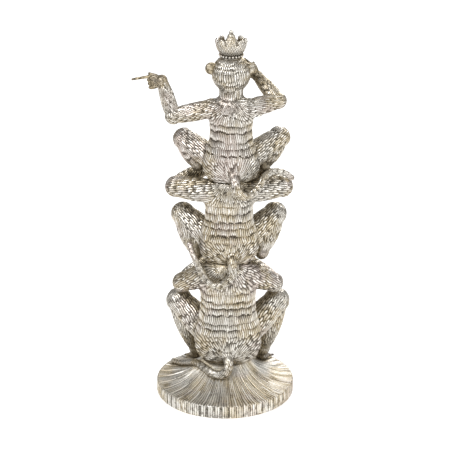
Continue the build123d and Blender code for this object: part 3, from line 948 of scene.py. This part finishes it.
@dataclass
class Base:
    """The round base: a hollow-flared mound with combed radial grooves and a fluted rim."""

    diameter: float = 140.0
    rim_height: float = 14.0
    bevel: float = 1.2
    mound_height: float = 36.0
    mound_top: float = 46.0
    felt_proud: float = 0.5
    recess: float = 1.5
    recess_diameter: float = 126.6
    steps: int = 760
    flutes: int = 60
    grooves: int = 30
    groove_width: float = 3.2
    groove_depth: float = 0.9
    groove_start: float = 27.9
    flute_width: float = 3.0
    flute_depth: float = 0.6
    mound_hair: HairCut = HairCut(34.0, 2.93, 0.8, comb=0.9, rest=0.55, wander=0.05)
    rim_hair: HairCut = HairCut(14.0, 2.4, 0.45, ragged=0.3, comb=0.85, rest=0.5, wander=0.03)

    def profile(self) -> list[Point]:
        """Give the half outline from the middle of the underside to the middle of the top."""
        radius = self.diameter / 2
        edge = radius - self.bevel
        flare, rise = edge - self.mound_top / 2, self.mound_height - self.rim_height
        sweep = (flare**2 + rise**2) / (2 * rise)
        inner, ceiling = self.recess_diameter / 2, self.felt_proud + self.recess
        line = [(0.0, ceiling), (inner, ceiling), (inner, self.felt_proud), (radius - 0.8, self.felt_proud)]
        line += [(radius, z) for z in np.linspace(self.felt_proud + 0.8, self.rim_height - self.bevel, 17)]
        for reach in np.linspace(0.0, flare, 64):
            line.append((edge - reach, self.rim_height + sweep - np.sqrt(sweep**2 - reach**2)))
        line += [(self.mound_top / 2 - 8.0, self.mound_height), (0.0, self.mound_height)]
        return [(float(r), 0.0, float(z)) for r, z in line]

    def spin(self) -> Piece:
        """Turn the outline round the base's axis.

        Returns:
            The plain base.
        """
        line = np.asarray(self.profile()) * MM
        mesh = bpy.data.meshes.new("base_turned")
        mesh.from_pydata(line.tolist(), [(i, i + 1) for i in range(len(line) - 1)], [])
        piece = add_object("base_turned", mesh)
        edit_all(piece)
        bpy.ops.mesh.spin(steps=self.steps, angle=2 * pi, center=(0, 0, 0), axis=(0, 0, 1))
        bpy.ops.mesh.select_all(action="SELECT")
        bpy.ops.mesh.remove_doubles(threshold=0.02 * MM)
        bpy.ops.mesh.normals_make_consistent(inside=False)
        set_mode("OBJECT")
        bpy.ops.object.shade_smooth()
        return piece

    def carve(self, piece: Piece, tree: BVHTree) -> None:
        """Comb the mound between its main grooves and flute the rim.

        Args:
            piece: the plain base.
            tree: the faces of the whole tower, for the painted shade.
        """
        points, normals = read_points(piece), read_normals(piece)
        reach = np.hypot(points[:, 0], points[:, 1])
        angle = np.arctan2(points[:, 1], points[:, 0])
        radius = self.diameter / 2
        mound = (points[:, 2] > self.rim_height - 0.4) & (reach > 12.0)
        rim = (reach > radius - 1.6) & (points[:, 2] > self.felt_proud + 0.4) & ~mound
        combed, own = self.mound_hair.strokes(FAR - reach, angle * radius, 3.0)
        pitch = 2 * pi / self.grooves
        apart = np.abs((angle + pitch / 2) % pitch - pitch / 2) * reach
        groove = (1 - (2 * apart / self.groove_width) ** 2).clip(0, 1)
        groove = groove * ease(self.groove_start, self.groove_start + 5, reach)
        pitch = 2 * pi / self.flutes
        apart = np.abs(angle % pitch - pitch / 2) * reach
        flute = (1 - (2 * apart / self.flute_width) ** 2).clip(0, 1)
        chipped, chip_own = self.rim_hair.strokes(points[:, 2] + 40.0, angle * radius, 6.0)
        sink = np.where(mound, groove * self.groove_depth + (1 - combed) * self.mound_hair.depth,
                        np.where(rim, flute * self.flute_depth + (1 - chipped) * self.rim_hair.depth, 0.0))
        number = np.floor(angle / pitch)
        worn = 0.15 + 0.55 * scatter(number, number * 0, 8.0)
        height = np.where(rim, chipped * (1 - worn * flute), 0.5)
        height = np.where(mound, combed * (1 - 0.25 * groove), height)
        write_points(piece, points - normals * (sink - 0.25)[:, None] * (mound | rim)[:, None])
        write_mask(piece, "cut", height)
        write_mask(piece, "own", np.where(mound, own, chip_own))
        # The open mask paints shade where the monkeys enclose the base.
        write_mask(piece, "open", openness(points, normals, read_edges(piece), tree))

    def build(self, finish: Finish, tree: BVHTree) -> None:
        """Make the base."""
        piece = self.spin()
        piece.name = "base_carved"
        self.carve(piece, tree)
        dress(piece, finish, "base")


@dataclass
class Crown:
    """The crown, with beads round its foot, pearls up its bowl, full petals and a peak under the orb."""

    centre: tuple[float, float] = (6.0, 4.0)
    foot: float = 350.7
    band_radius: float = 10.75
    beads: int = 22
    bead: float = 1.35
    bead_level: float = 4.2
    bead_proud: float = 0.5
    petals: int = 8
    height: float = 17.5
    petal_radius: float = 13.6
    petal: Point = (1.9, 4.3, 3.3)
    peak: tuple[float, float, float, float] = (7.5, 2.6, 8.0, 1.8)
    pearls: int = 34
    pearl_row: float = 2.4
    pearl_height: float = 0.35
    smooth_rounds: int = 24
    voxel: float = 0.28

    def build(self, finish: Finish, tree: BVHTree) -> None:
        """Make the crown."""
        foot = np.array((*self.centre, self.foot))
        parts = [copy_node("crown")]
        rings = (
            (self.beads, self.band_radius + self.bead_proud, self.bead_level, (self.bead,) * 3, 12, 0.0),
            (self.petals, self.petal_radius, self.height, self.petal, 24, 1.0),
        )
        for count, reach, level, size, segments, turned in rings:
            for turn in (2 * pi * number / count for number in range(count)):
                deselect()
                bpy.ops.mesh.primitive_uv_sphere_add(
                    segments=segments, ring_count=segments * 2 // 3, radius=MM, rotation=(0, 0, turned * turn),
                    location=(foot + (reach * np.cos(turn), reach * np.sin(turn), level)) * MM, scale=size)
                bpy.ops.object.transform_apply(location=True, rotation=True, scale=True)
                parts.append(bpy.context.object)
        deselect()
        wide, narrow, tall, lift = self.peak
        bpy.ops.mesh.primitive_cone_add(
            vertices=32, radius1=wide * MM, radius2=narrow * MM, depth=tall * MM,
            location=(foot + (0, 0, self.height + lift)) * MM)
        bpy.ops.object.transform_apply(location=True)
        parts.append(bpy.context.object)
        crown = join(parts, "crown_carved")
        remesh(crown, self.voxel * (1.0))
        self.carve(crown, tree)
        dress(crown, finish, "crown")

    def carve(self, crown: Piece, tree: BVHTree) -> None:
        """Raise the pearls of the bowl and keep the cut's height for the finish."""
        points, edges = read_points(crown), read_edges(crown)
        smooth = points.copy()
        for _ in range(self.smooth_rounds):
            smooth += 0.5 * (neighbour_mean(smooth, edges, len(points)) - smooth)
        normals = read_normals(crown)
        hollow = ((points - smooth) * normals).sum(axis=1)
        turn = np.arctan2(points[:, 1] - self.centre[1], points[:, 0] - self.centre[0])
        rise = points[:, 2] - self.foot
        row = np.floor(rise / self.pearl_row)
        pearl = np.cos(turn * self.pearls + pi * row) * np.cos(2 * pi * (rise / self.pearl_row - row - 0.5))
        pearl = ease(-0.5, 0.7, pearl) * ease(4.8, 6.0, rise)
        band = ease(4.5, 5.5, rise) * (1 - ease(8.5, 11.0, rise))
        cut = (0.2 + 0.55 * pearl + 1.6 * hollow).clip(0.03, 1) * (1 - 0.45 * band)
        write_points(crown, points + normals * (self.pearl_height * (pearl - 0.5))[:, None])
        write_mask(crown, "cut", cut)
        write_mask(crown, "own", scatter(np.floor(turn * 6), np.floor(rise / 2), 2.0))
        # The open mask paints shade where the crown is enclosed.
        write_mask(crown, "open", openness(points, normals, edges, tree))
        activate(crown)
        bpy.ops.object.shade_smooth()


@dataclass
class Fixings:
    """The steel that holds the tower together, and the felt below it."""

    steel_nodes: tuple[str, ...] = (
        "tie_rod", "tie_nut", "tie_washer", "lower_dowels", "middle_dowels", "top_dowels", "crown_dowel",
    )

    def dress(self, steel: Finish, felt: Finish) -> None:
        """Give the CAD nodes their finishes."""
        for name in self.steel_nodes:
            self.coat(name, steel)
        self.coat("felt_pad", felt)

    def coat(self, name: str, finish: Finish) -> None:
        """Put one finish on one CAD node."""
        mesh = frame["nodes"][name].data
        mesh.materials.clear()
        mesh.materials.append(finish)
        log.info("%s: CAD node with %s", name, finish.name)


@dataclass
class Studio:
    """A pale floor, soft lamps and the camera at the photograph's angle."""

    floor_size: float = 12.0
    camera_place: Point = (0.0, -1.588, 0.784)
    pitch: float = 69.2
    lens: float = 136.2
    floor_grey: float = 0.8
    floor_glow: float = 0.5
    room_light: float = 0.45
    aim: Point = (0.0, 0.0, 0.18)
    lamps: tuple[tuple[str, Point, float, float], ...] = (
        ("key", (-0.9, -1.2, 1.6), 0.9, 23.5),
        ("fill", (1.3, -0.9, 0.9), 0.8, 9.0),
        ("front", (0.6, 1.3, 1.3), 0.9, 16.0),
    )

    def floor(self) -> None:
        """Lay the pale floor, white to the camera and in reflections, with the shadow kept."""
        deselect()
        bpy.ops.mesh.primitive_plane_add(size=self.floor_size, location=(0, 0, 0))
        floor = bpy.context.object
        floor.name = "floor"
        finish, nodes, links, shader = new_finish("studio_floor")
        grey = self.floor_grey
        set_inputs(shader, {"Base Color": (grey, grey, grey, 1), "Roughness": 0.9})
        set_inputs(shader, {"Specular IOR Level": 0.0, "Emission Color": (1, 1, 1, 1)})
        links.new(seen(nodes, links, self.floor_glow), shader.inputs["Emission Strength"])
        floor.data.materials.append(finish)

    def sky(self) -> None:
        """Set the even light of the room."""
        world = bpy.data.worlds.new("room")
        world.use_nodes = True
        set_inputs(world.node_tree.nodes["Background"], {"Color": (1, 1, 1, 1), "Strength": self.room_light})
        bpy.context.scene.world = world

    def lamp(self, name: str, place: Point, size: float, power: float) -> None:
        """Hang one soft lamp that points at the tower.

        Args:
            name: the lamp's name.
            place: where it hangs, in metres.
            size: its edge in metres.
            power: its power in watts.
        """
        light = bpy.data.lights.new(name, "AREA")
        light.energy = power
        light.size = size
        lamp = add_object(name, light)
        lamp.location = place
        way = np.asarray(self.aim) - np.asarray(place)
        flat = np.hypot(way[0], way[1])
        lamp.rotation_euler = (pi / 2 - np.arctan2(-way[2], flat), 0.0, np.arctan2(-way[0], way[1]))

    def build(self) -> None:
        """Set up floor, light and camera."""
        self.floor()
        self.sky()
        for lamp in self.lamps:
            self.lamp(*lamp)
        eye = bpy.data.cameras.new("camera")
        eye.lens = self.lens
        eye.sensor_width = 36.0
        camera = add_object("camera", eye)
        camera.location = self.camera_place
        camera.rotation_euler = (radians(self.pitch), 0.0, 0.0)
        bpy.context.scene.camera = camera
        bpy.context.scene.view_settings.view_transform = "Standard"


def seen(nodes: bpy.types.Nodes, links: bpy.types.NodeLinks, strength: float) -> Socket:
    """Give a strength to camera, glossy and transmission rays only.

    Args:
        nodes: the material's nodes.
        links: the material's links.
        strength: the strength for those rays.

    Returns:
        The socket that carries it.
    """
    ray = nodes.new("ShaderNodeLightPath")
    socket = ray.outputs["Is Camera Ray"]
    for name in ("Is Glossy Ray", "Is Transmission Ray"):
        either = nodes.new("ShaderNodeMath")
        either.operation = "MAXIMUM"
        links.new(socket, either.inputs[0])
        links.new(ray.outputs[name], either.inputs[1])
        socket = either.outputs["Value"]
    level = nodes.new("ShaderNodeMath")
    level.operation = "MULTIPLY"
    level.inputs[1].default_value = strength
    links.new(socket, level.inputs[0])
    return level.outputs["Value"]


def monkeys() -> list[Monkey]:
    """List the three monkeys from the base up, with their joint places in millimetres."""
    arm_l, arm_r, leg_l, leg_r = Region.LEFT_ARM, Region.RIGHT_ARM, Region.LEFT_LEG, Region.RIGHT_LEG
    lower = Monkey(
        "lower", 3.0, 36.0, 109.0, 68.0, 43.0, (3.0, 41.1, 148.3),
        {
            leg_l: ((-10.6, 1.1, 57.8), (-47.0, 24.1, 89.0), (-29.6, 35.1, 30.6), (-32.4, 46.6, 17.6)),
            leg_r: ((16.6, 1.1, 57.8), (53.0, 24.1, 89.0), (39.0, 35.1, 30.6), (41.1, 46.6, 16.8)),
            arm_l: ((-16.7, -4.0, 129.7), (-43.2, 12.1, 114.0), (-20.1, 47.5, 122.1), (-8.6, 60.4, 134.1)),
            arm_r: ((22.7, -4.0, 129.7), (49.2, 12.1, 114.0), (26.1, 47.5, 122.1), (14.6, 60.4, 134.1)),
        },
        ((2.0, -16.0, 52.0), (3.0, -27.0, 45.8), (3.0, -33.4, 37.1), (-5.8, -32.1, 30.4),
         (-16.0, -26.1, 31.7), (-24.9, -14.1, 33.3), (-33.0, 1.1, 29.3), (-41.2, 13.0, 22.8),
         (-48.7, 23.6, 18.5), (-53.4, 31.0, 16.8)),
        1.0, voxel=0.53,
    )
    middle = Monkey(
        "middle", 4.0, 145.0, 85.0, 60.0, 40.0, (4.0, 38.0, 233.0),
        {
            leg_l: ((-8.0, 0.4, 162.0), (-42.2, 22.0, 184.9), (-29.0, 10.0, 148.4), (-28.4, 21.6, 144.2)),
            leg_r: ((16.0, 0.4, 162.0), (50.2, 22.0, 184.9), (37.0, 10.0, 148.4), (36.4, 21.6, 144.2)),
            arm_l: ((-14.0, -4.0, 218.1), (-48.8, 5.2, 219.8), (-23.6, 45.6, 223.2), (-5.6, 63.2, 224.1)),
            arm_r: ((22.0, -4.0, 218.1), (56.8, 5.2, 219.8), (31.6, 45.6, 223.2), (13.6, 63.2, 224.1)),
        },
        ((6.0, -16.0, 156.9), (7.0, -26.0, 150.9), (7.0, -29.6, 141.0), (0.0, -29.6, 130.0),
         (-10.0, -28.4, 126.5), (-19.0, -25.2, 133.0), (-26.0, -20.0, 144.0), (-32.0, -14.0, 155.0),
         (-35.0, -8.0, 163.0)),
        2.0,
    )
    top = Monkey(
        "top", 6.0, 230.0, 83.0, 56.0, 38.0, (6.0, 4.0, 336.2),
        {
            leg_l: ((-5.2, 0.6, 246.6), (-40.5, 21.8, 264.0), (-26.5, 15.0, 239.1), (-25.9, 26.4, 236.2)),
            leg_r: ((17.2, 0.6, 246.6), (53.6, 21.8, 265.7), (38.5, 15.0, 239.1), (37.9, 26.4, 236.2)),
            arm_l: ((-12.5, -4.0, 303.5), (-50.6, -0.2, 294.3), (-61.2, 5.9, 328.8), (-78.6, 7.4, 325.5)),
            arm_r: ((24.5, -4.0, 303.5), (51.9, 0.9, 309.7), (31.8, 21.8, 328.4), (22.8, 26.4, 335.0)),
        },
        ((8.0, -15.0, 241.0), (9.9, -24.9, 235.0), (13.0, -29.1, 226.0), (20.0, -28.3, 221.0),
         (27.8, -25.3, 223.5), (35.0, -20.0, 231.7), (41.0, -13.1, 238.3), (49.0, -6.3, 239.5),
         (58.1, -2.9, 237.1), (65.4, -1.0, 231.2)),
        3.0,
        ((296.0, 30.0, 12.0), (301.0, 25.0, 12.0), (305.5, 20.0, 11.5), (309.5, 16.6, 11.0),
         (314.0, 14.7, 10.5)),
    )
    return [lower, middle, top]


def main() -> None:
    """Build the stage and every piece, from the base up."""
    logging.basicConfig(level=logging.INFO, format="%(name)s %(message)s")
    Studio().build()
    hide = AgedSilver(
        "carved_silver", groove=(0.045, 0.036, 0.025), body=(0.53, 0.495, 0.43), rubbed=(0.93, 0.905, 0.855),
        warm=(0.53, 0.44, 0.29), blush=(0.54, 0.45, 0.4),
    )
    stand = AgedSilver(
        "base_silver", groove=(0.075, 0.062, 0.045), body=(0.68, 0.65, 0.59), rubbed=(0.97, 0.95, 0.9),
        warm=(0.67, 0.575, 0.41), blush=(0.67, 0.58, 0.51), dull=0.1,
    )
    steel = PlainFinish("fixing_steel", (0.55, 0.55, 0.56), (0.42, 0.42, 0.43), 1.0, 0.35, 800.0)
    felt = PlainFinish("felt_green", (0.03, 0.05, 0.04), (0.05, 0.08, 0.06), 0.0, 0.95, 1500.0)
    coat = hide.material()
    tower = tower_tree()
    Base().build(stand.material(), tower)
    for monkey in monkeys():
        monkey.build(coat, tower)
    Crown().build(coat, tower)
    Fixings().dress(steel.material(), felt.material())


if __name__ == "__main__":
    main()
